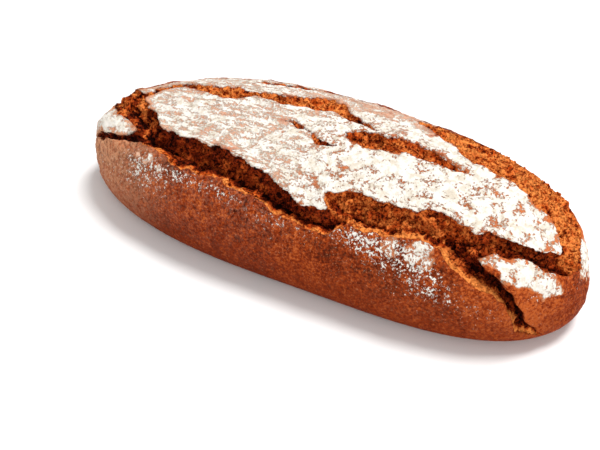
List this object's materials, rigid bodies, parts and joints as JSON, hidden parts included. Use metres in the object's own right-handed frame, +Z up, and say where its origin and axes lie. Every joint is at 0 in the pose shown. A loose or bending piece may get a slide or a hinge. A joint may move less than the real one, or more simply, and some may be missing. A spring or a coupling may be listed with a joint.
{
  "type": "bread loaf",
  "caption": "Long oval country loaf with a flat base, a floured crust and torn cracks along the top and front.",
  "frame": {"origin": "middle of the loaf's outline, on the plane of its flat base", "axes": "+X along the loaf towards its right end as seen from the front, +Y to its back, away from the long front crack, +Z up"},
  "size_m": [0.3304, 0.1404, 0.0794],
  "materials": {
    "crust": "rough baked crust, reddish brown, dusted with white flour, orange-brown torn crumb in the cracks"
  },
  "bodies": {
    "root": {"loaf": "crust"}
  },
  "joints": []
}
